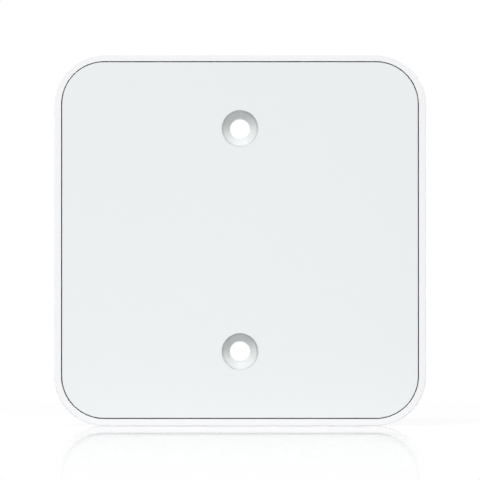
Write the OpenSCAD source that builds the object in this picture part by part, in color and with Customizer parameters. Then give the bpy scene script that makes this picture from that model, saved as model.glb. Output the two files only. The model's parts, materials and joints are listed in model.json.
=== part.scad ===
// Magnetic ceiling and wall mount for a compact access point.
//
// A square white tray is screwed to the ceiling or wall through two countersunk
// screw bushes. A plain panel, inset in the tray with a fine dark gap around it,
// hides seven magnets that hold the access point against the front.
//
// Frame: X to the right, Z up, and the front faces -Y. The wall is the plane Y = 0,
// and the origin lies in it, midway between the two screw holes.
// "Depth" below is the distance from the wall towards the front.

/* [Body] */
// Width and height of the square body
body_w = 100; // [96:1:120]
// Depth of the body, from the wall to the front face
body_depth = 10; // [9.5:0.5:14]
// Corner radius of the body's outline
corner_r = 13.5; // [12:0.5:16]
// Width of the rim that shows around the inset panel
rim_w = 1.9; // [1.7:0.05:2.4]
// Width of the fine gap between the rim and the panel
gap_w = 0.28; // [0.15:0.01:0.4]
// Thickness of the tray's back wall
back_t = 1.6; // [1.4:0.1:2.2]
// Rounding of the rim's front outer edge
front_round = 0.3; // [0.2:0.1:1]
// Rounding of the body's back outer edge
back_round = 2; // [1:0.25:2.5]

/* [Panel and tape] */
// Thickness of the inset panel
panel_t = 1.5; // [1.2:0.1:2]
// Small chamfer on the panel's front edges
panel_chamfer = 0.1; // [0.1:0.05:0.3]
// Thickness of the bonding tape behind the panel
tape_t = 0.5; // [0.4:0.1:0.8]
// Width of the tape ring that runs under the panel's edge
tape_w = 4; // [3:0.5:5]

/* [Screw bushes] */
// Distance between the two mounting screws
screw_pitch = 60; // [60:1:70]
// Bore of each bush, a clearance hole for a 5 mm screw
bore_d = 5.5; // [4.5:0.1:5.7]
// Diameter of the countersink at its mouth
seat_d = 8.8; // [8.4:0.1:9]
// Diameter of the bush's barrel
bush_d = 9.7; // [9.5:0.1:10.1]
// How far the bush's lip lies below the panel's front face
lip_depth = 0.3; // [0.1:0.1:0.6]
// Depth of the steep lead-in between the lip and the countersink
lead_depth = 0.9; // [0.5:0.1:1.2]

/* [Magnets and keeper] */
// Diameter of each magnet
magnet_d = 15; // [12:0.5:15]
// Thickness of the steel keeper plate
keeper_t = 1; // [0.8:0.1:1.2]
// Width and height of the keeper plate
keeper_w = 90; // [88:0.5:90]

/* [Fastenings and pads] */
// Distance of the carrier screws from the centre, sideways
carrier_screw_x = 38; // [37:0.5:38]
// Distance of the carrier screws from the centre, up and down
carrier_screw_z = 15; // [14:0.5:16]
// Width and height of each wall pad
pad_w = 20; // [16:1:22]
// Thickness of each wall pad
pad_t = 1; // [0.9:0.1:1.2]

/* [Hidden] */
$fn = 96;
hair = 0.01;

// Clearance between nested moulded parts, and the snug one that centres the panel
fit = 0.1;
snug = 0.05;

// Depths of the layers, counted from the wall
back_gap = 0.4;                            // the pads hold the tray this far off the wall
floor_depth = back_gap + back_t;           // the tray's inner floor
keeper_depth = floor_depth + keeper_t;     // the keeper's front
panel_depth = body_depth - panel_t;        // the panel's back
carrier_depth = panel_depth - tape_t;      // the carrier's front
lip_at = body_depth - lip_depth;           // the bush's front lip
seat_at = lip_at - lead_depth;             // the countersink's mouth
seat_depth = (seat_d - bore_d) / 2;        // a 90 degree countersink

// Outlines, each a rounded square given by its width and corner radius
cavity_w = body_w - 2 * rim_w;
cavity_r = corner_r - rim_w;
panel_w = cavity_w - 2 * gap_w;
panel_r = cavity_r - gap_w;
panel_hole_d = bush_d + 2 * snug;
carrier_gap = 0.3;
carrier_w = cavity_w - 2 * carrier_gap;
carrier_r = cavity_r - carrier_gap;
keeper_r = 9;

// Screw bush
bush_flange_d = 13;
bush_edge = 0.1;
lip_w = 0.08;

// Magnets: a square grid whose top and bottom middle places are the screw holes
pitch = screw_pitch / 2;
magnet_places = [[-1, 1], [1, 1], [-1, 0], [0, 0], [1, 0], [-1, -1], [1, -1]];
magnet_edge = 0.3;

// Carrier: a thin front plate on upright ribs
skin_t = 1.2;
rib_t = 1.2;
pocket_d = magnet_d + 4 * fit;

// Carrier screws, driven from the back into blind bosses
cup_d = 5.4;
cup_wall = 1.2;
cup_floor = 1;
cup_seat = floor_depth + 0.4;              // where the screw head bears
cup_top = cup_seat + cup_floor;
cup_room = cup_d / 2 + cup_wall + 2 * fit; // radius left free around a cup
boss_d = 5.4;
screw_d = 2.4;
screw_len = carrier_depth - cup_seat - 1;
screw_point = 0.5;
screw_head_d = 4.6;
screw_head_t = 1.4;
cross_w = 0.7;
cross_len = 2.8;
cross_depth = 0.8;

// Tape strips that stiffen the middle of the panel
strip_w = 7;
strip_len = 50;
strip_x = pitch / 2;

// Wall pads sit in shallow recesses
pad_r = 5;
pad_at = body_w / 2 - corner_r - 3.5;
pad_recess = pad_t - back_gap;

// ---- Helpers -------------------------------------------------------------

// Turns a part drawn face up, with depth along Z, so that its depth runs towards -Y
module upright() {
    rotate([90, 0, 0]) children();
}

// A flat outline given thickness between two depths
module layer(from, to) {
    translate([0, 0, from]) linear_extrude(to - from) children();
}

// A rectangle with round corners, drawn from arcs
module rounded_box(w, h, r) {
    square([w, h - 2 * r], center = true);
    square([w - 2 * r, h], center = true);
    for (x = [-1, 1], y = [-1, 1])
        translate([x * (w / 2 - r), y * (h / 2 - r)]) circle(r);
}

// A square with round corners
module rounded_square(w, r) {
    rounded_box(w, w, r);
}

// Sweeps a wall section around a rounded square: the section's X runs outwards
// from the corner's centre, and its Y is depth
module sweep_around(w, r) {
    straight = w - 2 * r;
    for (side = [0:3]) rotate([0, 0, 90 * side]) {
        translate([straight / 2, 0, 0])
            rotate([90, 0, 0]) linear_extrude(straight, center = true) children();
        translate([straight / 2, straight / 2, 0])
            rotate_extrude(angle = 90) children();
    }
}

// A copy at each of the two mounting screws
module at_screws() {
    for (y = [-1, 1]) translate([0, y * pitch, 0]) children();
}

// A copy at each of the four carrier screws
module at_carrier_screws() {
    for (x = [-1, 1], y = [-1, 1])
        translate([x * carrier_screw_x, y * carrier_screw_z, 0]) children();
}

// A copy at each magnet's place
module at_magnets() {
    for (p = magnet_places) translate([p.x * pitch, p.y * pitch, 0]) children();
}

// ---- Tray ----------------------------------------------------------------

// Section through the tray's side wall and the edge of its back wall
module wall_section() {
    inner = corner_r - rim_w;
    shelf = 4;
    difference() {
        union() {
            translate([inner, back_gap + back_round])
                square([rim_w, body_depth - back_gap - back_round - front_round]);
            translate([inner, body_depth - front_round - hair])
                square([rim_w - front_round, front_round + hair]);
            translate([corner_r - front_round, body_depth - front_round])
                circle(front_round);
            translate([inner - shelf, back_gap])
                square([shelf + rim_w - back_round, back_t]);
            translate([corner_r - back_round, back_gap + back_round])
                circle(back_round);
        }
        // the round of the back edge must not fill the cavity
        translate([inner - shelf, floor_depth]) square([shelf, back_round * 2]);
    }
}

module base_shell() {
    color("white") upright() difference() {
        union() {
            sweep_around(body_w, corner_r) wall_section();
            layer(back_gap, floor_depth)
                rounded_square(cavity_w - 4, cavity_r - 2);
            // cups that hold the carrier screws' heads
            at_carrier_screws() layer(floor_depth - hair, cup_top)
                circle(cup_d / 2 + cup_wall);
            // a low rib keeps the keeper plate in its place
            layer(floor_depth - hair, floor_depth + keeper_t * 0.8) difference() {
                rounded_square(keeper_w + 2 * (rib_t + fit), keeper_r + rib_t + fit);
                rounded_square(keeper_w + 2 * fit, keeper_r + fit);
            }
        }
        at_screws() layer(0, body_depth) circle(bush_d / 2 + fit);
        at_carrier_screws() {
            layer(0, cup_seat) circle(cup_d / 2);
            layer(0, body_depth) circle(screw_d / 2 + 2 * fit);
        }
        for (x = [-1, 1], y = [-1, 1]) translate([x * pad_at, y * pad_at, 0])
            layer(0, back_gap + pad_recess) rounded_square(pad_w + 2 * fit, pad_r + fit);
    }
}

// ---- Panel and its tape --------------------------------------------------

module face_panel() {
    color("whitesmoke") upright() difference() {
        union() {
            layer(panel_depth, body_depth - panel_chamfer) rounded_square(panel_w, panel_r);
            layer(panel_depth, body_depth)
                rounded_square(panel_w - 2 * panel_chamfer, panel_r - panel_chamfer);
            sweep_around(panel_w, panel_r)
                polygon([
                    [panel_r - 2 * panel_chamfer, body_depth - panel_chamfer],
                    [panel_r, body_depth - panel_chamfer],
                    [panel_r - panel_chamfer, body_depth],
                    [panel_r - 2 * panel_chamfer, body_depth],
                ]);
        }
        at_screws() {
            layer(0, body_depth + 1) circle(panel_hole_d / 2);
            translate([0, 0, body_depth - panel_chamfer])
                cylinder(panel_chamfer * 2, panel_hole_d / 2, panel_hole_d / 2 + panel_chamfer * 2);
        }
    }
}

module panel_tape() {
    color("black") upright() layer(carrier_depth, panel_depth) difference() {
        rounded_square(cavity_w - fit, cavity_r - fit / 2);
        rounded_square(cavity_w - 2 * tape_w, cavity_r - tape_w);
    }
}

module tape_strip(side) {
    color("black") upright() layer(carrier_depth, panel_depth)
        translate([side * strip_x, 0]) rounded_box(strip_w, strip_len, 1);
}

// ---- Magnets, their carrier and the keeper -------------------------------

module magnet(place) {
    r = magnet_d / 2;
    color("silver") upright() translate([place.x * pitch, place.y * pitch, 0])
        rotate_extrude() polygon([
            [0, keeper_depth],
            [r - magnet_edge, keeper_depth],
            [r, keeper_depth + magnet_edge],
            [r, carrier_depth - magnet_edge],
            [r - magnet_edge, carrier_depth],
            [0, carrier_depth],
        ]);
}

module magnet_carrier() {
    skin_depth = carrier_depth - skin_t;
    color("dimgray") upright() difference() {
        union() {
            layer(skin_depth, carrier_depth) rounded_square(carrier_w, carrier_r);
            layer(keeper_depth, carrier_depth) {
                // outer wall
                difference() {
                    rounded_square(carrier_w, carrier_r);
                    rounded_square(carrier_w - 2 * rib_t, carrier_r - rib_t);
                }
                // walls around the magnets and the bushes
                at_magnets() circle(pocket_d / 2 + rib_t);
                at_screws() circle(bush_d / 2 + fit + rib_t);
                // ribs along the rows of the grid
                for (k = [-1, 0, 1]) {
                    translate([k * pitch, 0]) square([rib_t, carrier_w - rib_t], center = true);
                    translate([0, k * pitch]) square([carrier_w - rib_t, rib_t], center = true);
                }
            }
            at_carrier_screws() layer(cup_top, carrier_depth) circle(boss_d / 2);
        }
        at_magnets() layer(0, body_depth) circle(pocket_d / 2);
        at_screws() {
            layer(0, body_depth) circle(bush_d / 2 + fit);
            layer(0, keeper_depth + fit) circle(bush_flange_d / 2 + 2 * fit);
        }
        // room for the tray's cups, and the blind holes of the bosses
        at_carrier_screws() {
            layer(0, cup_top) circle(cup_room);
            layer(0, cup_seat + screw_len + fit) circle(screw_d / 2);
        }
    }
}

module keeper_plate() {
    color("lightsteelblue") upright() layer(floor_depth, keeper_depth) difference() {
        rounded_square(keeper_w, keeper_r);
        at_screws() circle(bush_flange_d / 2 + 2 * fit);
        at_carrier_screws() circle(cup_room);
    }
}

// ---- Bushes, screws and pads ---------------------------------------------

// Full-depth bush: it takes the screw's clamping force straight to the wall
module screw_bush(side) {
    r = bush_d / 2;
    color("white") upright() translate([0, side * pitch, 0]) rotate_extrude() polygon([
        [bore_d / 2, 0],
        [r - bush_edge, 0],
        [r, bush_edge],
        [r, floor_depth],
        [bush_flange_d / 2, floor_depth],
        [bush_flange_d / 2, keeper_depth],
        [r, keeper_depth],
        [r, lip_at],
        [r - lip_w, lip_at],
        [seat_d / 2, seat_at],
        [bore_d / 2, seat_at - seat_depth],
    ]);
}

module carrier_screws() {
    color("gray") upright() at_carrier_screws() {
        difference() {
            rotate_extrude() polygon([
                [0, cup_seat - screw_head_t],
                [screw_head_d / 2 - 0.6, cup_seat - screw_head_t],
                [screw_head_d / 2 - 0.2, cup_seat - screw_head_t + 0.25],
                [screw_head_d / 2, cup_seat - screw_head_t + 0.7],
                [screw_head_d / 2, cup_seat],
                [screw_d / 2, cup_seat],
                [screw_d / 2, cup_seat + screw_len - screw_point],
                [screw_d / 2 - screw_point, cup_seat + screw_len],
                [0, cup_seat + screw_len],
            ]);
            for (turn = [0, 90]) rotate([0, 0, turn])
                translate([0, 0, cup_seat - screw_head_t])
                    cube([cross_len, cross_w, cross_depth * 2], center = true);
        }
    }
}

module wall_pad(x, y) {
    color("dimgray") upright() translate([x * pad_at, y * pad_at, 0])
        layer(0, pad_t) rounded_square(pad_w, pad_r);
}

// ---- One line for each node ----------------------------------------------

base_shell();
face_panel();
panel_tape();
tape_strip(-1);  // tape_strip_left
tape_strip(1);  // tape_strip_right
magnet_carrier();
keeper_plate();
magnet(magnet_places[0]);  // magnet_top_left
magnet(magnet_places[1]);  // magnet_top_right
magnet(magnet_places[2]);  // magnet_middle_left
magnet(magnet_places[3]);  // magnet_center
magnet(magnet_places[4]);  // magnet_middle_right
magnet(magnet_places[5]);  // magnet_bottom_left
magnet(magnet_places[6]);  // magnet_bottom_right
screw_bush(1);  // screw_bush_top
screw_bush(-1);  // screw_bush_bottom
carrier_screws();
wall_pad(-1, 1);  // wall_pad_top_left
wall_pad(1, 1);  // wall_pad_top_right
wall_pad(-1, -1);  // wall_pad_bottom_left
wall_pad(1, -1);  // wall_pad_bottom_right
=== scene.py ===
# %% [markdown]
# # A magnetic mounting plate for an access point
#
# This lesson builds the finished look of a small moulded product. It is a white tray
# with a flush panel, screwed flat to a wall or ceiling. Magnets behind the panel hold
# the access point. The CAD model is loaded first and never changed. Each Blender piece
# is then modelled in the CAD piece's own place, with the soft edges and the surface
# that the real piece has.

# %% Load the CAD model as a fixed frame
import json
import math

import bmesh
import bpy
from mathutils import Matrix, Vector


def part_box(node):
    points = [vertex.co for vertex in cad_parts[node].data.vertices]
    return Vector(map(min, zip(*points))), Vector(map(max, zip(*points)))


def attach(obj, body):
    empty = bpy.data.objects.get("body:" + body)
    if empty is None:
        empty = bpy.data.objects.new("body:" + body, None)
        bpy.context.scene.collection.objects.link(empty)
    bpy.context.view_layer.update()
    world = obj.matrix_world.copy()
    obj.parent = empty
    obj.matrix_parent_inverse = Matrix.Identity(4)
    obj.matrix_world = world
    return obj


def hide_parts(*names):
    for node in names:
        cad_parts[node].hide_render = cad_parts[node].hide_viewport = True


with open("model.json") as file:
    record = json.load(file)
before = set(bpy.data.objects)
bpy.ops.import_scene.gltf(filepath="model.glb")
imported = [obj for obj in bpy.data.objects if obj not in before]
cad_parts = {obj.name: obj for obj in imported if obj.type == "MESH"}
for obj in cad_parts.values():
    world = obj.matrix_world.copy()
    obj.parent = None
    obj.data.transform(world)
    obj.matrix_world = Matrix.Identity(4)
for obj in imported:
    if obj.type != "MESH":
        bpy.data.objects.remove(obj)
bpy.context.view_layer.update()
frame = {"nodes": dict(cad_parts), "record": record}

print("CAD nodes:", len(frame["nodes"]))

# %% [markdown]
# ## Sizes come from the frame
#
# Every size is read from the CAD model's boxes, so a piece always fits its place. The
# plate faces -Y and the wall is at Y = 0. One number, the depth, says how far a point
# stands off the wall. All the numbers below are millimetres, as on a drawing.

# %% Read the driving sizes
MM = 0.001


class Extent:
    """A CAD node's middle, width and height, and the depths of its back and its front."""

    def __init__(self, node):
        low, high = (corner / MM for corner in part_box(node))
        self.at = ((low.x + high.x) / 2, (low.z + high.z) / 2)
        self.width = high.x - low.x
        self.height = high.z - low.z
        self.back = -high.y
        self.front = -low.y


tray_box = Extent("base_shell")
panel_box = Extent("face_panel")
tape_box = Extent("panel_tape")
keeper_box = Extent("keeper_plate")
screws_box = Extent("carrier_screws")
bush_box = Extent("screw_bush_top")
pad_box = Extent("wall_pad_top_right")
bores = [m for m in frame["record"]["mounts"] if m["kind"] == "bore"]
bore_d = 2 * bores[0]["dims"]["r_mm"]
bore_len = bores[0]["dims"]["length_mm"]
bush_places = [bush_box.at, Extent("screw_bush_bottom").at]
print("body", tray_box.width, "x", tray_box.height, "bore", bore_d, "x", bore_len)

# %% [markdown]
# ## A small set of bench tools
#
# A moulded part is a few outlines joined by walls. So the tools do just that: add an
# outline, pick a loop of edges, draw it along a path, and fill between loops. The same
# tools then make the tray, the panel, the bushes and the magnets. Drawing a loop in
# small steps is like turning on a lathe, and it puts each soft edge exactly where the
# drawing has it.

# %% Open and close a piece
WELD = 0.000002
CORNER_POINTS = 24


def start(name):
    """Makes an empty mesh at the origin and opens it for editing."""
    bpy.ops.object.select_all(action="DESELECT")
    piece = bpy.data.objects.new(name, bpy.data.meshes.new(name))
    bpy.context.scene.collection.objects.link(piece)
    piece.select_set(True)
    bpy.context.view_layer.objects.active = piece
    bpy.ops.object.mode_set(mode="EDIT")
    return piece


def finish_shape(piece, crisp=30):
    """Welds the piece, turns its faces outwards, and keeps its flats flat and its rounds smooth."""
    bpy.ops.mesh.select_all(action="SELECT")
    bpy.ops.mesh.remove_doubles(threshold=WELD)
    bpy.ops.mesh.normals_make_consistent(inside=False)
    bpy.ops.object.mode_set(mode="OBJECT")
    bpy.ops.object.shade_smooth_by_angle(angle=math.radians(crisp))
    flats = piece.modifiers.new("flats", "WEIGHTED_NORMAL")
    flats.keep_sharp = True
    bpy.ops.object.modifier_apply(modifier=flats.name)
    open_edges = sum(count < 2 for count in faces_on_each_edge(piece.data))
    print(piece.name, "faces", len(piece.data.polygons), "open edges", open_edges)
    return piece


def faces_on_each_edge(mesh):
    """How many faces meet at each edge of a mesh: two everywhere on a closed piece."""
    shape = bmesh.new()
    shape.from_mesh(mesh)
    counts = [len(edge.link_faces) for edge in shape.edges]
    shape.free()
    return counts


# %% [markdown]
# ## Outlines
#
# A rounded square and a circle are the same outline with a different corner radius. One
# measure, how far a point lies outside the outline, therefore finds any loop of edges.
# Picking by place, and not by index, keeps working when the number of points changes.

# %% Add outlines and pick loops
AT_DEPTH = 0.01
ON_OUTLINE = 0.04


def point(at, depth):
    """A place on the plate, in metres: across and up from the middle, and off the wall."""
    return Vector((at[0] * MM, -depth * MM, at[1] * MM))


def outside(spot, at, width, radius):
    """How far a spot lies outside a rounded square, in millimetres; negative inside."""
    across = abs(spot[0] - at[0]) - (width / 2 - radius)
    up = abs(spot[1] - at[1]) - (width / 2 - radius)
    beyond = math.hypot(max(across, 0), max(up, 0))
    return beyond + min(max(across, up), 0) - radius


def middle(edge):
    """An edge's middle: across, up, and off the wall, in millimetres."""
    place = (edge.verts[0].co + edge.verts[1].co) / (2 * MM)
    return place.x, place.z, -place.y


def add_outline(at, width, radius, depth, points=CORNER_POINTS):
    """Adds a closed loop of edges: a rounded square, or a circle if the radius is half the width."""
    upright = (math.pi / 2, 0, 0)
    if radius * 2 >= width:
        bpy.ops.mesh.primitive_circle_add(
            vertices=4 * points, radius=radius * MM, location=point(at, depth), rotation=upright
        )
        return
    bpy.ops.mesh.primitive_plane_add(size=width * MM, location=point(at, depth), rotation=upright)
    bpy.ops.mesh.bevel(offset=radius * MM, segments=points, affect="VERTICES")
    bpy.ops.mesh.delete(type="ONLY_FACE")


def pick_edges(test):
    """Selects the open piece's edges that pass a test."""
    bpy.ops.mesh.select_mode(type="EDGE")
    bpy.ops.mesh.select_all(action="DESELECT")
    mesh = bpy.context.object.data
    shape = bmesh.from_edit_mesh(mesh)
    for edge in shape.edges:
        edge.select_set(test(edge))
    shape.select_flush_mode()
    bmesh.update_edit_mesh(mesh)


def pick_loops(*outlines, depth, most_faces=1):
    """Selects the loops of edges that follow these outlines at a depth."""

    def follows(edge):
        across, up, off = middle(edge)
        if abs(off - depth) > AT_DEPTH or len(edge.link_faces) > most_faces:
            return False
        return any(abs(outside((across, up), *outline)) < ON_OUTLINE for outline in outlines)

    pick_edges(follows)


def pick_open(depth, wires_only=False):
    """Selects the edges at a depth that still have room for a face."""
    most = 0 if wires_only else 1
    pick_edges(lambda e: len(e.link_faces) <= most and abs(middle(e)[2] - depth) < AT_DEPTH)


def pick_faces(test):
    """Selects the open piece's faces that pass a test."""
    bpy.ops.mesh.select_mode(type="FACE")
    bpy.ops.mesh.select_all(action="DESELECT")
    mesh = bpy.context.object.data
    shape = bmesh.from_edit_mesh(mesh)
    for face in shape.faces:
        face.select_set(test(face))
    bmesh.update_edit_mesh(mesh)


# %% [markdown]
# ## Drawing a loop along a path
#
# The path is a list of (width, depth) steps. Each step extrudes the loop and resizes it
# about its own middle. Soft edges come from `soften`, which swaps each corner of a path
# for a short curve. A sharp edge never catches the light on a real moulding, and a soft
# one does, so every outer corner gets one.

# %% Draw and soften
MOST_OF_SIDE = 0.45


def draw(path, at=(0, 0)):
    """Draws the selected loop from the first (width, depth) of a path through the others."""
    for (width, depth), (next_width, next_depth) in zip(path, path[1:]):
        off_wall = (0, (depth - next_depth) * MM, 0)
        bpy.ops.mesh.extrude_region_move(TRANSFORM_OT_translate={"value": off_wall})
        grow = next_width / width
        bpy.ops.transform.resize(value=(grow, 1, grow), center_override=point(at, next_depth))


def soften(path, size, steps=3, around=False):
    """Swaps the corners of a path for short curves. A path that runs around also closes up."""
    corners = [Vector(place) for place in path]
    count = len(corners)
    made = [] if around else [path[0]]
    for i in range(count) if around else range(1, count - 1):
        corner, before, after = corners[i], corners[i - 1], corners[(i + 1) % count]
        shorter = min((corner - before).length, (after - corner).length)
        reach = min(size, shorter * MOST_OF_SIDE)
        first = corner + (before - corner).normalized() * reach
        last = corner + (after - corner).normalized() * reach
        for k in range(steps + 1):
            t = k / steps
            spot = first * (1 - t) ** 2 + corner * 2 * t * (1 - t) + last * t**2
            made.append(tuple(spot))
    return made + [made[0] if around else path[-1]]


# %% [markdown]
# ## Tray
#
# The tray is one white injection moulding. Its edge is the rim that frames the panel.
# It starts as a cube, as wide and deep as the CAD tray. Bevels round the four corners
# and the back edge, because a bevel keeps the round even all the way about. An inset
# leaves the rim, and an extrude sinks the cavity.

# %% Tray: block, corners and cavity
CENTRE = (0, 0)
CORNER_R = 13.5
BACK_ROUND = 2.0
RIM_W = 1.9
FRONT_ROUND = 0.3
RIM_EDGE = 0.06
floor_depth = keeper_box.back
tray_outline = (CENTRE, tray_box.width, CORNER_R)
cavity = (CENTRE, tray_box.width - 2 * RIM_W, CORNER_R - RIM_W)


def bevel(size, segments):
    """Rounds the selected edges."""
    bpy.ops.mesh.bevel(offset=size * MM, segments=segments, affect="EDGES")


tray = start("tray")
bpy.ops.mesh.primitive_cube_add(
    size=1,
    location=point(CENTRE, (tray_box.back + tray_box.front) / 2),
    scale=(tray_box.width * MM, (tray_box.front - tray_box.back) * MM, tray_box.height * MM),
)
pick_edges(lambda edge: abs(edge.verts[0].co.y - edge.verts[1].co.y) > MM)
bevel(CORNER_R, segments=CORNER_POINTS)
pick_loops(tray_outline, depth=tray_box.back, most_faces=2)
bevel(BACK_ROUND, segments=9)
pick_faces(lambda face: face.normal.y < -0.9)
bpy.ops.mesh.inset(thickness=RIM_W * MM, depth=0)
sink = (0, (tray_box.front - floor_depth) * MM, 0)
bpy.ops.mesh.extrude_region_move(TRANSFORM_OT_translate={"value": sink})
pick_loops(tray_outline, depth=tray_box.front, most_faces=2)
bevel(FRONT_ROUND, segments=6)
pick_loops(cavity, depth=tray_box.front, most_faces=2)
bevel(RIM_EDGE, segments=3)
print("tray block:", tray_box.width, "mm square,", RIM_W, "mm rim")

# %% [markdown]
# The back has four shallow pad recesses, four screw cups and two bush holes. The floor
# inside has the cups' other ends and a low rib around the steel plate. The two flat
# faces are taken away, the outlines are added, and each face is filled again around
# them. Walls are then drawn from the back to the floor, where they meet and weld.

# %% Tray: new faces around the outlines
FIT = 0.1
EDGE = 0.1
BUSH_D = 9.7
CUP_D = 5.4
CUP_WALL = 1.2
SCREW_D = 2.4
SCREW_ROOM = 0.4
HEAD_D = 4.6
HEAD_T = 1.4
CUP_FLOOR = 1.0
KEEPER_R = 9.0
RIB_W = 1.2
RIB_RISE = 0.8
PAD_R = 5.0
cup_x = (screws_box.width - HEAD_D) / 2
cup_z = (screws_box.height - HEAD_D) / 2
cup_places = [(x, z) for x in (-cup_x, cup_x) for z in (-cup_z, cup_z)]
pad_places = [(x, z) for x in (-pad_box.at[0], pad_box.at[0]) for z in (-pad_box.at[1], pad_box.at[1])]
bush_hole_d = BUSH_D + 2 * FIT
cup_outer_d = CUP_D + 2 * CUP_WALL
rib_in = (CENTRE, keeper_box.width + 2 * FIT, KEEPER_R + FIT)
rib_out = (CENTRE, rib_in[1] + 2 * RIB_W, rib_in[2] + RIB_W)


def circle_at(at, width):
    """The outline of a circle, for picking and adding."""
    return at, width, width / 2


back_holes = [circle_at(at, bush_hole_d + 2 * EDGE) for at in bush_places]
back_cups = [circle_at(at, CUP_D + 2 * EDGE) for at in cup_places]
back_pads = [(at, pad_box.width + 2 * (FIT + EDGE), PAD_R + FIT + EDGE) for at in pad_places]
floor_holes = [circle_at(at, bush_hole_d) for at in bush_places]
floor_cups = [circle_at(at, cup_outer_d) for at in cup_places]

pick_faces(lambda face: abs(face.normal.y) > 0.99 and len(face.verts) > 8)
bpy.ops.mesh.delete(type="ONLY_FACE")
for outline in back_holes + back_cups + back_pads:
    add_outline(*outline, depth=tray_box.back)
pick_open(tray_box.back)
bpy.ops.mesh.fill()
add_outline(*rib_out, depth=floor_depth)
pick_open(floor_depth)
bpy.ops.mesh.fill()
for outline in [rib_in] + floor_holes + floor_cups:
    add_outline(*outline, depth=floor_depth)
pick_open(floor_depth, wires_only=True)
bpy.ops.mesh.fill()
print("tray faces filled around", len(back_holes + back_cups + back_pads), "outlines")

# %% Tray: walls of the holes, cups, recesses and rib
cup_seat = screws_box.back + HEAD_T
cup_top = cup_seat + CUP_FLOOR
recess_depth = pad_box.front
rib_top = floor_depth + RIB_RISE * (keeper_box.front - keeper_box.back)

for at in bush_places:
    pick_loops(circle_at(at, bush_hole_d + 2 * EDGE), depth=tray_box.back)
    lip = (bush_hole_d + 2 * EDGE, tray_box.back)
    draw([lip, (bush_hole_d, tray_box.back + EDGE), (bush_hole_d, floor_depth)], at)
for at in cup_places:
    pick_loops(circle_at(at, cup_outer_d), depth=floor_depth)
    through = SCREW_D + SCREW_ROOM
    wall = [
        (cup_outer_d, floor_depth),
        (cup_outer_d, cup_top),
        (through, cup_top),
        (through, cup_seat),
        (CUP_D, cup_seat),
        (CUP_D, tray_box.back + EDGE),
        (CUP_D + 2 * EDGE, tray_box.back),
    ]
    draw(wall, at)
for outline in back_pads:
    pick_loops(outline, depth=tray_box.back)
    inner = outline[1] - 2 * EDGE
    draw([(outline[1], tray_box.back), (inner, tray_box.back + EDGE), (inner, recess_depth)], outline[0])
    bpy.ops.mesh.edge_face_add()
pick_loops(rib_in, rib_out, depth=floor_depth)
bpy.ops.mesh.extrude_region_move(TRANSFORM_OT_translate={"value": (0, (floor_depth - rib_top) * MM, 0)})
bpy.ops.mesh.fill()
finish_shape(tray)

# %% [markdown]
# ## Flat plates
#
# The panel, the steel keeper, the tape ring and the rubber pads are all flat plates with
# rounded corners and some holes. One function makes them all: fill between the front
# outlines, draw every outline back through a soft edge, and fill the back.

# %% A plate from its outlines


def plate(name, outline, holes, back, front, edge, hole_edge=0.1):
    """A flat plate between two depths, with softened edges outside and in every hole."""
    piece = start(name)
    outlines = [(outline, -edge)] + [(hole, hole_edge) for hole in holes]
    for (at, width, radius), grow in outlines:
        add_outline(at, width + 2 * grow, radius + grow, front)
    pick_open(front)
    bpy.ops.mesh.fill()
    for (at, width, radius), grow in outlines:
        mouth = width + 2 * grow
        wall = [(mouth, front), (width, front), (width, back), (mouth, back)]
        pick_loops((at, mouth, radius + grow), depth=front)
        draw(soften(wall, abs(grow)), at)
    pick_open(back)
    bpy.ops.mesh.fill()
    return finish_shape(piece)


PANEL_GAP = 0.28
PANEL_HOLE_D = 9.8
panel = plate(
    "front_panel",
    (CENTRE, panel_box.width, cavity[2] - PANEL_GAP),
    [circle_at(at, PANEL_HOLE_D) for at in bush_places],
    panel_box.back,
    panel_box.front,
    edge=0.1,
    hole_edge=0.06,
)

# %% [markdown]
# The keeper is a stamped steel plate with holes for the bushes and the screw cups. The
# tape is a real bonding ring with one large hole. Its black edge is the bottom of the
# fine gap and is also painted shade: it makes the gap darker than its own shade would.

# %% Keeper and tape ring
ROOM = 0.2
FLANGE_D = 13.0
TAPE_W = 4.0
keeper = plate(
    "keeper_sheet",
    (CENTRE, keeper_box.width, KEEPER_R),
    [circle_at(at, FLANGE_D + 2 * ROOM) for at in bush_places]
    + [circle_at(at, cup_outer_d + 2 * ROOM) for at in cup_places],
    keeper_box.back,
    keeper_box.front,
    edge=0.12,
)
# Painted shade: the ring's black edge at the bottom of the fine gap darkens the gap line; the ring itself is
# real bonding tape.
tape_ring = plate(
    "gap_tape",
    (CENTRE, tape_box.width, cavity[2] - FIT / 2),
    [(CENTRE, cavity[1] - 2 * TAPE_W, cavity[2] - TAPE_W)],
    tape_box.back,
    tape_box.front,
    edge=0.05,
)

# %% [markdown]
# ## Copies
#
# Pads, magnets, screws and bushes repeat. Each is modelled once, where the CAD model has
# the first one. The others are copies with a mesh of their own, moved in edit mode, so
# that every object stays at the origin and its place is in its mesh.

# %% A copy in another node's place


def copy_to(piece, name, shift):
    """A copy with its own mesh, moved across and up by a shift in millimetres."""
    bpy.ops.object.select_all(action="DESELECT")
    piece.select_set(True)
    bpy.context.view_layer.objects.active = piece
    bpy.ops.object.duplicate()
    copy = bpy.context.object
    copy.name = name
    copy.data.name = name
    bpy.ops.object.mode_set(mode="EDIT")
    bpy.ops.mesh.select_all(action="SELECT")
    bpy.ops.transform.translate(value=point(shift, 0))
    bpy.ops.object.mode_set(mode="OBJECT")
    return copy


def one_for_each(make, names):
    """Makes the piece for the first node, and copies it into the places of the others."""
    (first_node, first_name), *others = names.items()
    home = Extent(first_node).at
    made = {first_node: make(first_name, first_node)}
    for node, name in others:
        there = Extent(node).at
        shift = (there[0] - home[0], there[1] - home[1])
        made[node] = copy_to(made[first_node], name, shift)
    print(len(made), "x", first_name)
    return made


# %% [markdown]
# The rubber pads are die-cut squares that stand 0.4 mm proud of the tray's back. The tape
# strips are cut from the roll that the ring comes from. They are rectangles, so they
# start as a cube and get their corners and edges from bevels.

# %% Wall pads and tape strips
PAD_EDGE = 0.25
STRIP_R = 1.0
STRIP_EDGE = 0.05


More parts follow.
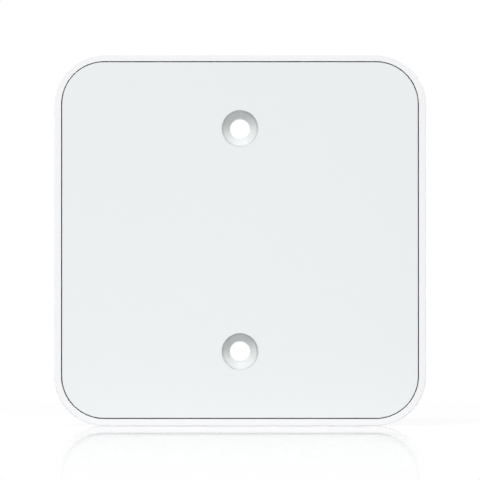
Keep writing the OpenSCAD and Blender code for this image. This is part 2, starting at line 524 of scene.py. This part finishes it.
def wall_pad(name, node):
    """A square rubber pad with its rim rounded by the die."""
    size = Extent(node)
    return plate(name, (size.at, size.width, PAD_R), [], size.back, size.front, edge=PAD_EDGE)


def tape_strip(name, node):
    """A short strip of bonding tape between the carrier and the panel."""
    size = Extent(node)
    piece = start(name)
    bpy.ops.mesh.primitive_cube_add(
        size=1,
        location=point(size.at, (size.back + size.front) / 2),
        scale=(size.width * MM, (size.front - size.back) * MM, size.height * MM),
    )
    pick_edges(lambda edge: abs(edge.verts[0].co.y - edge.verts[1].co.y) > 0.1 * MM)
    bevel(STRIP_R, segments=8)
    pick_edges(lambda edge: any(len(face.verts) > 4 for face in edge.link_faces))
    bevel(STRIP_EDGE, segments=2)
    return finish_shape(piece)


corners = ["top_left", "top_right", "bottom_left", "bottom_right"]
pads = one_for_each(wall_pad, {"wall_pad_" + corner: "rubber_pad_" + corner for corner in corners})
sides = ["left", "right"]
strips = one_for_each(tape_strip, {"tape_strip_" + side: "stiffening_tape_" + side for side in sides})

# %% [markdown]
# ## Turned pieces
#
# The bushes and magnets are round, so each is one section drawn around its own middle.
# A bush is a ring: its section runs around and closes. A magnet is solid, so its two
# ends are capped with a face. The bush's lip sits just below the panel. A steep lead-in
# runs from the lip down to a true 90 degree countersink. The lead-in is so steep that it
# takes little light, so it reads as a thin dark ring around the cone.

# %% Turn the bushes
SEAT_D = 8.8
LEAD_IN = 0.9
LIP_W = 0.08
BUSH_EDGE = 0.08
ROUND_POINTS = 24


def turned_bush(name, node):
    """A ring turned from a closed section of (width, depth) corners."""
    at = Extent(node).at
    section = [
        (bore_d, bush_box.back),
        (BUSH_D, bush_box.back),
        (BUSH_D, keeper_box.back),
        (FLANGE_D, keeper_box.back),
        (FLANGE_D, keeper_box.front),
        (BUSH_D, keeper_box.front),
        (BUSH_D, bush_box.front),
        (BUSH_D - 2 * LIP_W, bush_box.front),
        (SEAT_D, bush_box.front - LEAD_IN),
        (bore_d, bore_len),
    ]
    path = soften(section, BUSH_EDGE, around=True)
    piece = start(name)
    add_outline(at, path[0][0], path[0][0] / 2, path[0][1], points=ROUND_POINTS)
    draw(path, at)
    return finish_shape(piece)


bushes = one_for_each(turned_bush, {"screw_bush_top": "bush_top", "screw_bush_bottom": "bush_bottom"})

# %% Turn the magnets
MAGNET_EDGE = 0.6


def solid_turning(at, path, points=ROUND_POINTS):
    """Draws a path around its middle and caps both of its ends."""
    width, depth = path[0]
    add_outline(at, width, width / 2, depth, points=points)
    bpy.ops.mesh.edge_face_add()
    pick_open(depth)
    draw(path, at)
    bpy.ops.mesh.edge_face_add()


def turned_magnet(name, node):
    """A solid disc with both rims rounded."""
    size = Extent(node)
    flat = size.width - 2 * MAGNET_EDGE
    section = [(flat, size.front), (size.width, size.front), (size.width, size.back), (flat, size.back)]
    piece = start(name)
    solid_turning(size.at, soften(section, MAGNET_EDGE, steps=4))
    return finish_shape(piece)


magnet_names = {node: "disc_" + node for node in sorted(frame["nodes"]) if node.startswith("magnet_")}
del magnet_names["magnet_carrier"]
magnets = one_for_each(turned_magnet, magnet_names)

# %% [markdown]
# ## Screws
#
# Four small pan-head screws hold the carrier. A screw is turned in one go. The cross in
# its head is pressed in by a punch on the real one, so here a punch is modelled too, and
# a boolean presses it in. The dome is a short list: how much narrower than the head, and
# how far below its top. The other three screws are copies.

# %% One screw, then its copies
CROSS_LEN = 2.8
CROSS_W = 0.7
CROSS_DEEP = 0.8
CROSS_TAPER = 0.55
HEAD_DOME = [(1.6, 0), (0.6, 0.12), (0.1, 0.5), (0, 0.9)]
TIP_LEN = 0.6
TIP_NARROWS = 1.0
SCREW_EDGE = 0.15
SCREW_POINTS = 12


def cross_punch(at, head):
    """A cross with a tapered point: a small block whose four sides are pulled out."""
    punch = start("cross_punch")
    tall = 2 * CROSS_DEEP * MM
    size = (CROSS_W * MM, tall, CROSS_W * MM)
    bpy.ops.mesh.primitive_cube_add(size=1, location=point(at, head), scale=size)
    arm = (CROSS_LEN - CROSS_W) / 2
    for across, up in ((1, 0), (-1, 0), (0, 1), (0, -1)):
        pick_faces(lambda face: face.normal.dot(Vector((across, 0, up))) > 0.9)
        bpy.ops.mesh.extrude_region_move(TRANSFORM_OT_translate={"value": point((across * arm, up * arm), 0)})
    pick_faces(lambda face: face.normal.y < -0.9 and face.calc_center_median().y < point(at, head).y)
    tip = point(at, head + CROSS_DEEP)
    bpy.ops.transform.resize(value=(CROSS_TAPER, 1, CROSS_TAPER), center_override=tip)
    bpy.ops.mesh.select_all(action="SELECT")
    bpy.ops.mesh.remove_doubles(threshold=WELD)
    bpy.ops.mesh.normals_make_consistent(inside=False)
    bpy.ops.object.mode_set(mode="OBJECT")
    return punch


def press_in(piece, punch):
    """Cuts a punch's shape out of a piece and takes the punch away."""
    bpy.ops.object.select_all(action="DESELECT")
    bpy.context.view_layer.objects.active = piece
    piece.select_set(True)
    cut = piece.modifiers.new("cut", "BOOLEAN")
    cut.operation = "DIFFERENCE"
    cut.solver = "EXACT"
    cut.object = punch
    bpy.ops.object.modifier_apply(modifier=cut.name)
    bpy.data.objects.remove(punch)


def carrier_screw(name, at):
    """A pan-head screw in its cup: head towards the wall, tip in the carrier's boss."""
    head, tip = screws_box.back, screws_box.front
    dome = [(HEAD_D - narrower, head + below_top) for narrower, below_top in HEAD_DOME]
    shank = [(SCREW_D, cup_seat), (SCREW_D, tip - TIP_LEN), (SCREW_D - TIP_NARROWS, tip)]
    section = dome + [(HEAD_D, cup_seat)] + shank
    piece = start(name)
    solid_turning(at, soften(section, SCREW_EDGE), points=SCREW_POINTS)
    bpy.ops.object.mode_set(mode="OBJECT")
    press_in(piece, cross_punch(at, head))
    bpy.ops.object.mode_set(mode="EDIT")
    return finish_shape(piece)


first_cup, *other_cups = cup_places
screws = [carrier_screw("carrier_screw_1", first_cup)]
for number, at in enumerate(other_cups, start=2):
    shift = (at[0] - first_cup[0], at[1] - first_cup[1])
    screws.append(copy_to(screws[0], f"carrier_screw_{number}", shift))

# %% [markdown]
# ## Magnet carrier
#
# The carrier is the most ribbed piece, and its CAD shape is right already. A copy of the
# CAD mesh is welded and its flat triangles are joined. Then a bevel breaks every edge,
# because a mould can't make a perfectly sharp one. The CAD node itself isn't touched.

# %% Soften a copy of the carrier
CARRIER_EDGE = 0.12
FLAT_WITHIN = 0.5
SHARP_FROM = 40
carrier_copy = frame["nodes"]["magnet_carrier"].data.copy()
carrier = bpy.data.objects.new("magnet_frame", carrier_copy)
carrier.data.materials.clear()
bpy.context.scene.collection.objects.link(carrier)
bpy.ops.object.select_all(action="DESELECT")
carrier.select_set(True)
bpy.context.view_layer.objects.active = carrier
bpy.ops.object.mode_set(mode="EDIT")
bpy.ops.mesh.select_all(action="SELECT")
bpy.ops.mesh.remove_doubles(threshold=WELD / 2)
bpy.ops.mesh.dissolve_limited(angle_limit=math.radians(FLAT_WITHIN))
bpy.ops.object.mode_set(mode="OBJECT")
broken = carrier.modifiers.new("broken edges", "BEVEL")
broken.width = CARRIER_EDGE * MM
broken.segments = 2
broken.limit_method = "ANGLE"
broken.angle_limit = math.radians(SHARP_FROM)
bpy.ops.object.modifier_apply(modifier=broken.name)
bpy.ops.object.mode_set(mode="EDIT")
finish_shape(carrier)

# %% [markdown]
# ## Who stands for whom
#
# Each finished piece rides on the one body, stands for its CAD node, and takes a material
# slot, which the finishes below fill.

# %% Ride, replace and name the slots
pieces = [
    (tray, "base_shell", "shell_plastic"),
    (panel, "face_panel", "panel_plastic"),
    (keeper, "keeper_plate", "keeper_steel"),
    (tape_ring, "panel_tape", "bonding_tape"),
    (carrier, "magnet_carrier", "carrier_plastic"),
]
pieces += [(piece, node, "bonding_tape") for node, piece in strips.items()]
pieces += [(piece, node, "bush_plastic") for node, piece in bushes.items()]
pieces += [(piece, node, "magnet_nickel") for node, piece in magnets.items()]
pieces += [(piece, node, "pad_rubber") for node, piece in pads.items()]
pieces += [(piece, "carrier_screws", "screw_steel") for piece in screws]
for piece, node, slot in pieces:
    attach(piece, "root")
    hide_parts(node)
print(len(pieces), "pieces stand for", len({node for _, node, _ in pieces}), "CAD nodes")

# %% [markdown]
# ## Finishes
#
# Every finish here is made of a Principled shader and one of three shared groups. A group
# holds a pattern and puts out what changes over the surface: a colour, a roughness and a
# height. What doesn't change, such as how metallic a finish is, sits on the shader's own
# socket. The patterns read Object coordinates, in metres, so they sit still on the piece
# and keep their real scale.

# %% Helpers for node groups


def new_group(name, inputs, outputs):
    """An empty shader group with named sockets, and its input and output nodes."""
    group = bpy.data.node_groups.new(name, "ShaderNodeTree")
    kinds = {"color": "NodeSocketColor", "value": "NodeSocketFloat", "vector": "NodeSocketVector"}
    for side, sockets in (("INPUT", inputs), ("OUTPUT", outputs)):
        for socket, kind in sockets.items():
            group.interface.new_socket(socket, in_out=side, socket_type=kinds[kind])
    return group, group.nodes.new("NodeGroupInput"), group.nodes.new("NodeGroupOutput")


def add_node(tree, kind, links=None, **settings):
    """Adds a node, sets its properties, and fills its sockets with values or links."""
    node = tree.nodes.new(kind)
    for name, value in settings.items():
        setattr(node, name, value)
    for socket, source in (links or {}).items():
        if isinstance(source, bpy.types.NodeSocket):
            tree.links.new(source, node.inputs[socket])
        else:
            node.inputs[socket].default_value = source
    return node


def math_node(tree, operation, *terms):
    """The result of one Math node."""
    return add_node(tree, "ShaderNodeMath", dict(enumerate(terms)), operation=operation).outputs[0]


def put_out(tree, out, **results):
    """Links a group's results to its output node."""
    for socket, source in results.items():
        tree.links.new(source, out.inputs[socket])


def noise(tree, place, scale, detail=2.0, roughness=0.5):
    """A noise pattern's value, for a scale given in cells to the metre."""
    links = {"Vector": place, "Scale": scale, "Detail": detail, "Roughness": roughness}
    return add_node(tree, "ShaderNodeTexNoise", links).outputs["Fac"]


def spread(tree, mask, middle_value, width):
    """A value that swings by a width around its middle as a 0 to 1 mask swings."""
    swing = math_node(tree, "SUBTRACT", mask, 0.5)
    return math_node(tree, "MULTIPLY_ADD", swing, width, middle_value)


def shade(tree, colour, factor):
    """A colour made lighter or darker by a factor near 1."""
    return add_node(tree, "ShaderNodeVectorMath", {0: colour, 1: factor}, operation="MULTIPLY").outputs[0]


# %% [markdown]
# ### Moulded skin
#
# A moulded face copies its tool: a very fine spark-eroded grain, a roughness that isn't
# quite even, and a faint change of tone where the melt flowed and cooled. Two noises give
# this. A fine one is the grain, and a broad one is the flow.

# %% Group: moulded skin
FLOW_CELLS = 22


def make_moulded_skin():
    """Grain and flow of a moulded face."""
    tree, given, out = new_group(
        "moulded_skin",
        {"Color": "color", "Tone": "value", "Roughness": "value", "Uneven": "value", "Grain": "value"},
        {"Color": "color", "Roughness": "value", "Height": "value"},
    )
    place = tree.nodes.new("ShaderNodeTexCoord").outputs["Object"]
    flow = noise(tree, place, FLOW_CELLS, detail=3)
    grain = noise(tree, place, given.outputs["Grain"], detail=3, roughness=0.6)
    tone = spread(tree, flow, 1.0, given.outputs["Tone"])
    toned = shade(tree, given.outputs["Color"], tone)
    rough = spread(tree, grain, given.outputs["Roughness"], given.outputs["Uneven"])
    put_out(tree, out, Color=toned, Roughness=rough, Height=grain)
    return tree


moulded_skin = make_moulded_skin()
print("moulded skin: flow patches of", round(1000 / FLOW_CELLS), "mm")

# %% [markdown]
# ### Metal grain
#
# Rolled and plated metal has fine lines one way and a mottle from the plating bath. The
# lines are a noise that is stretched by a Mapping node. A stretch of 1 leaves the noise
# even, which suits a tumbled magnet or screw.

# %% Group: metal grain
LINE_CELLS = 4000
MOTTLE_CELLS = 160


def make_metal_grain():
    """Rolling lines and plating mottle."""
    tree, given, out = new_group(
        "metal_grain",
        {"Color": "color", "Tone": "value", "Roughness": "value", "Uneven": "value", "Stretch": "vector"},
        {"Color": "color", "Roughness": "value", "Height": "value"},
    )
    place = tree.nodes.new("ShaderNodeTexCoord").outputs["Object"]
    drawn = add_node(tree, "ShaderNodeMapping", {"Vector": place, "Scale": given.outputs["Stretch"]})
    lines = noise(tree, drawn.outputs[0], LINE_CELLS, detail=4, roughness=0.65)
    mottle = noise(tree, place, MOTTLE_CELLS, detail=5, roughness=0.6)
    tone = spread(tree, mottle, 1.0, given.outputs["Tone"])
    toned = shade(tree, given.outputs["Color"], tone)
    both = math_node(tree, "MULTIPLY", lines, mottle)
    doubled = math_node(tree, "MULTIPLY", both, 2.0)
    rough = spread(tree, doubled, given.outputs["Roughness"], given.outputs["Uneven"])
    put_out(tree, out, Color=toned, Roughness=rough, Height=lines)
    return tree


metal_grain = make_metal_grain()
print("metal grain: plating mottle of", round(1000 / MOTTLE_CELLS), "mm")

# %% [markdown]
# ### Soft stipple
#
# Rubber and bonding tape are matt, and they look alive only through their cells. A Voronoi
# pattern gives round cells, and a noise stops them from looking printed.

# %% Group: soft stipple
BLOOM_CELLS = 260


def make_soft_stipple():
    """Cells of a matt rubber or tape."""
    tree, given, out = new_group(
        "soft_stipple",
        {"Color": "color", "Tone": "value", "Roughness": "value", "Uneven": "value", "Cells": "value"},
        {"Color": "color", "Roughness": "value", "Height": "value"},
    )
    place = tree.nodes.new("ShaderNodeTexCoord").outputs["Object"]
    links = {"Vector": place, "Scale": given.outputs["Cells"]}
    cells = add_node(tree, "ShaderNodeTexVoronoi", links).outputs["Distance"]
    bloom = noise(tree, place, BLOOM_CELLS, detail=4)
    tone = spread(tree, bloom, 1.0, given.outputs["Tone"])
    toned = shade(tree, given.outputs["Color"], tone)
    rough = spread(tree, bloom, given.outputs["Roughness"], given.outputs["Uneven"])
    put_out(tree, out, Color=toned, Roughness=rough, Height=cells)
    return tree


soft_stipple = make_soft_stipple()
print("soft stipple: bloom of", round(1000 / BLOOM_CELLS), "mm")

# %% [markdown]
# ### The materials
#
# Each material places one group with its own values and adds a Bump node. The bump's
# distance is the real height of the grain, a few thousandths of a millimetre on the
# white mouldings, so that they look silky and not sandy.

# %% A finish from a group and a shader


def finish_from(name, group, values, bump_mm, **plain):
    """A material: a group's colour, roughness and height, and plain values on the shader."""
    material = bpy.data.materials.new(name)
    material.use_nodes = True
    tree = material.node_tree
    shader = tree.nodes["Principled BSDF"]
    pattern = tree.nodes.new("ShaderNodeGroup")
    pattern.node_tree = group
    for socket, value in values.items():
        pattern.inputs[socket].default_value = value
    tree.links.new(pattern.outputs["Color"], shader.inputs["Base Color"])
    tree.links.new(pattern.outputs["Roughness"], shader.inputs["Roughness"])
    links = {"Height": pattern.outputs["Height"], "Distance": bump_mm * MM, "Strength": 1.0}
    bump = add_node(tree, "ShaderNodeBump", links)
    tree.links.new(bump.outputs["Normal"], shader.inputs["Normal"])
    for socket, value in plain.items():
        shader.inputs[socket.replace("_", " ")].default_value = value
    material.diffuse_color = values["Color"]
    return material


def common(colour, tone, roughness, uneven):
    """The values that every group takes."""
    return {"Color": (*colour, 1), "Tone": tone, "Roughness": roughness, "Uneven": uneven}


def moulded(colour, tone=0.012, roughness=0.42, uneven=0.06, grain=3000):
    """Values for a moulded skin."""
    return common(colour, tone, roughness, uneven) | {"Grain": grain}


def worked(colour, tone, roughness, uneven, stretch):
    """Values for a metal grain."""
    return common(colour, tone, roughness, uneven) | {"Stretch": stretch}


def celled(colour, tone, roughness, uneven, cells):
    """Values for a soft stipple."""
    return common(colour, tone, roughness, uneven) | {"Cells": cells}


# %% Make every finish
finishes = {
    "shell_plastic": finish_from("white_shell_plastic", moulded_skin, moulded((0.865, 0.87, 0.885)), 0.004),
    "panel_plastic": finish_from(
        "cool_white_panel_plastic",
        moulded_skin,
        moulded((0.785, 0.815, 0.825), roughness=0.38, grain=4200),
        0.002,
    ),
    "bush_plastic": finish_from(
        "smooth_white_bush_plastic",
        moulded_skin,
        moulded((0.772, 0.79, 0.796), roughness=0.34, grain=5000),
        0.002,
    ),
    "carrier_plastic": finish_from(
        "dark_filled_plastic",
        moulded_skin,
        moulded((0.035, 0.037, 0.040), tone=0.4, roughness=0.5, uneven=0.25, grain=2200),
        0.02,
    ),
    "keeper_steel": finish_from(
        "rolled_zinc_steel",
        metal_grain,
        worked((0.62, 0.64, 0.66), tone=0.25, roughness=0.36, uneven=0.25, stretch=(0.04, 1, 1)),
        0.006,
        Metallic=1.0,
    ),
    "magnet_nickel": finish_from(
        "satin_nickel",
        metal_grain,
        worked((0.66, 0.63, 0.58), tone=0.12, roughness=0.24, uneven=0.15, stretch=(1, 1, 1)),
        0.003,
        Metallic=1.0,
    ),
    "screw_steel": finish_from(
        "zinc_screw_steel",
        metal_grain,
        worked((0.60, 0.61, 0.62), tone=0.2, roughness=0.30, uneven=0.2, stretch=(1, 0.3, 1)),
        0.004,
        Metallic=1.0,
    ),
    "pad_rubber": finish_from(
        "grey_pad_rubber",
        soft_stipple,
        celled((0.16, 0.165, 0.17), tone=0.3, roughness=0.78, uneven=0.15, cells=1400),
        0.05,
    ),
    # The tape's black is its own colour, and in the fine gap around the panel it is also painted shade.
    "bonding_tape": finish_from(
        "black_bonding_tape_and_gap_shade",
        soft_stipple,
        celled((0.02, 0.021, 0.022), tone=0.4, roughness=0.85, uneven=0.15, cells=5000),
        0.02,
    ),
}
for piece, _, slot in pieces:
    piece.data.materials.clear()
    piece.data.materials.append(finishes[slot])
print(len(finishes), "finishes")

# %% [markdown]
# ## Stage
#
# The unit stands on its lower edge on a light table, and everything behind
# it is white. So rays from the camera see the world as plain white, and so do mirror rays
# near the horizon. All other rays see the studio's light. In front it comes from the
# ceiling, and a little comes up from the table. Behind, the unit stands in a light tent.
# The tent's cloth is brightest level with the unit's sides, so it lights the rim's edges
# without flooding the back.

# %% World
OVERHEAD = 1.3
UNDERSIDE = 0.15
TENT = 1.7
TENT_LOW = 1.6
TENT_FROM = -0.15
TENT_TO = 0.05
WHITE_TO = 0.20
STUDIO_FROM = 0.45


def ramp(tree, value, start_at, end_at):
    """0 where a value is at its start, 1 where it is at its end, and smooth between."""
    links = {"Value": value, "From Min": start_at, "From Max": end_at}
    return add_node(tree, "ShaderNodeMapRange", links, interpolation_type="SMOOTHSTEP").outputs[0]


world = bpy.data.worlds.new("white_studio")
bpy.context.scene.world = world
world.use_nodes = True
sky = world.node_tree
sky.nodes.clear()
direction = add_node(sky, "ShaderNodeTexCoord").outputs["Generated"]
_, towards_back, up = add_node(sky, "ShaderNodeSeparateXYZ", {0: direction}).outputs
ceiling_light = math_node(sky, "MULTIPLY", math_node(sky, "MAXIMUM", up, 0.0), OVERHEAD)
below = math_node(sky, "MINIMUM", up, 0.0)
table_light = math_node(sky, "MULTIPLY", below, -UNDERSIDE)
in_front = math_node(sky, "ADD", ceiling_light, table_light)
side_on = math_node(sky, "SUBTRACT", 1.0, math_node(sky, "MULTIPLY", towards_back, towards_back))
cloth = math_node(sky, "MULTIPLY_ADD", below, -TENT_LOW, TENT)
tent = math_node(sky, "MULTIPLY", math_node(sky, "MULTIPLY", side_on, side_on), cloth)
behind = ramp(sky, towards_back, TENT_FROM, TENT_TO)
studio = math_node(sky, "MULTIPLY_ADD", behind, math_node(sky, "SUBTRACT", tent, in_front), in_front)
rays = add_node(sky, "ShaderNodeLightPath").outputs
horizon = ramp(sky, math_node(sky, "ABSOLUTE", up), STUDIO_FROM, WHITE_TO)
glossy_white = math_node(sky, "MULTIPLY", rays["Is Glossy Ray"], horizon)
plain_white = math_node(sky, "MAXIMUM", rays["Is Camera Ray"], glossy_white)
strength = math_node(sky, "MULTIPLY_ADD", plain_white, math_node(sky, "SUBTRACT", 1.0, studio), studio)
room = add_node(sky, "ShaderNodeBackground", {"Color": (1, 1, 1, 1), "Strength": strength})
add_node(sky, "ShaderNodeOutputWorld", {"Surface": room.outputs[0]})
print("world:", len(sky.nodes), "nodes")

# %% [markdown]
# Two soft lamps do the modelling. The key lamp is high in front and a little to the left,
# so the upper walls of the countersinks fall into shade. The low lamp is nearly level
# with the camera, and it fills the flat face evenly.

# %% Lamps
LAMP_DISTANCE = 2.0


def soft_lamp(name, left, above, size, power):
    """A square area lamp, aimed at the unit, at angles in degrees from straight in front."""
    lamp = bpy.data.lights.new(name, "AREA")
    lamp.size = size
    lamp.energy = power
    light = bpy.data.objects.new(name, lamp)
    bpy.context.scene.collection.objects.link(light)
    level = math.cos(math.radians(above)) * LAMP_DISTANCE
    light.location = (
        -math.sin(math.radians(left)) * level,
        -math.cos(math.radians(left)) * level,
        math.sin(math.radians(above)) * LAMP_DISTANCE,
    )
    light.rotation_euler = (-light.location).to_track_quat("-Z", "Y").to_euler()
    print(name, "at", [round(value, 2) for value in light.location], "m,", power, "W")


soft_lamp("key_lamp", left=20, above=45, size=0.8, power=20.0)
soft_lamp("low_lamp", left=0, above=-10, size=0.6, power=13.2)

# %% [markdown]
# Close to the unit's foot the light table shines up on the lower edge. A small strip lamp
# in the table's surface stands for that glow.

# %% Foot glow
FOOT_WIDTH = 0.014
FOOT_POWER = 0.0004
face_y = -tray_box.front * MM
table_height = (tray_box.at[1] - tray_box.height / 2) * MM
foot = bpy.data.lights.new("foot_glow", "AREA")
foot.shape = "RECTANGLE"
foot.size = tray_box.width * MM
foot.size_y = FOOT_WIDTH
foot.energy = FOOT_POWER
foot_light = bpy.data.objects.new("foot_glow", foot)
bpy.context.scene.collection.objects.link(foot_light)
foot_light.location = (0, face_y - FOOT_WIDTH / 2, table_height)
foot_light.rotation_euler = (math.pi, 0, 0)
foot_light.visible_camera = False
foot_light.visible_glossy = False

# %% [markdown]
# The light table is a sheet of white acrylic, lit from below. It glows almost as white as
# the room, and it neither blocks nor bounces light.

# %% Light table: the sheet
TABLE_SIZE = 12.0
bpy.ops.object.select_all(action="DESELECT")
bpy.ops.mesh.primitive_plane_add(size=TABLE_SIZE, location=(0, 0, table_height))
table = bpy.context.object
table.name = "light_table"
bpy.ops.object.transform_apply(location=True, rotation=True, scale=True)
table.visible_diffuse = False
table.visible_shadow = False
acrylic = bpy.data.materials.new("white_acrylic")
acrylic.use_nodes = True
table.data.materials.append(acrylic)

# %% [markdown]
# Far away the sheet is pure glow. Around the unit it glows less, and white paint makes up
# for that, so the sheet takes the unit's own soft shadow there.

# %% Light table: glow and paint
TABLE_GLOW = 0.56
TABLE_PAINT = 0.33
TABLE_NEAR = 0.15
TABLE_FAR = 0.50
sheet = acrylic.node_tree
paint = sheet.nodes["Principled BSDF"]
paint.inputs["Roughness"].default_value = 1.0
paint.inputs["Specular IOR Level"].default_value = 0.0
paint.inputs["Emission Color"].default_value = (1, 1, 1, 1)
place = add_node(sheet, "ShaderNodeTexCoord").outputs["Object"]
distance = add_node(sheet, "ShaderNodeVectorMath", {0: place}, operation="LENGTH").outputs["Value"]
far = ramp(sheet, distance, TABLE_NEAR, TABLE_FAR)
glow = math_node(sheet, "MULTIPLY_ADD", far, 1.0 - TABLE_GLOW, TABLE_GLOW)
painted = math_node(sheet, "MULTIPLY_ADD", far, -TABLE_PAINT, TABLE_PAINT)
sheet.links.new(painted, paint.inputs["Base Color"])
sheet.links.new(glow, paint.inputs["Emission Strength"])
print("table glow", TABLE_GLOW, "near the unit, and 1.0 from", TABLE_FAR, "m away")

# %% [markdown]
# The sheet is polished around the unit: a mirror that is strong at a grazing angle, as on
# any polished sheet, and that fades out with distance from the unit's face.

# %% Light table: polish
POLISH_PEAK = 0.85
POLISH_REACH = 0.65
POLISH_IOR = 1.45
POLISH_ROUGHNESS = 0.035
inward = add_node(sheet, "ShaderNodeSeparateXYZ", {0: place}).outputs["Y"]
from_face = math_node(sheet, "ABSOLUTE", math_node(sheet, "SUBTRACT", inward, face_y))
left_over = math_node(sheet, "MULTIPLY_ADD", from_face, -1.0 / POLISH_REACH, 1.0)
fade = math_node(sheet, "MAXIMUM", left_over, 0.0)
polish = math_node(sheet, "MULTIPLY", math_node(sheet, "MULTIPLY", fade, fade), POLISH_PEAK)
grazing = add_node(sheet, "ShaderNodeFresnel", {"IOR": POLISH_IOR}).outputs[0]
share = math_node(sheet, "MULTIPLY", polish, grazing)
mirror = add_node(sheet, "ShaderNodeBsdfGlossy", {"Color": (1, 1, 1, 1), "Roughness": POLISH_ROUGHNESS})
both = add_node(sheet, "ShaderNodeMixShader", {0: share, 1: paint.outputs[0], 2: mirror.outputs[0]})
sheet.links.new(both.outputs[0], sheet.nodes["Material Output"].inputs["Surface"])
print("the polish ends", POLISH_REACH, "m from the unit's face")

# %% [markdown]
# ## Camera
#
# The camera is far away with a long lens, as for a catalogue: the unit looks square and
# almost free of perspective. It stands a little below the unit's middle and looks at it
# squarely.

# %% Camera and view transform
DISTANCE = 1.5
CAMERA_DROP = 0.020
LENS = 418.5
camera = bpy.data.objects.new("camera", bpy.data.cameras.new("camera"))
bpy.context.scene.collection.objects.link(camera)
camera.data.lens = LENS
camera.location = (0, face_y - DISTANCE, -CAMERA_DROP)
look = Vector((0, face_y, 0)) - camera.location
camera.rotation_euler = look.to_track_quat("-Z", "Y").to_euler()
bpy.context.scene.camera = camera
bpy.context.scene.view_settings.view_transform = "Standard"
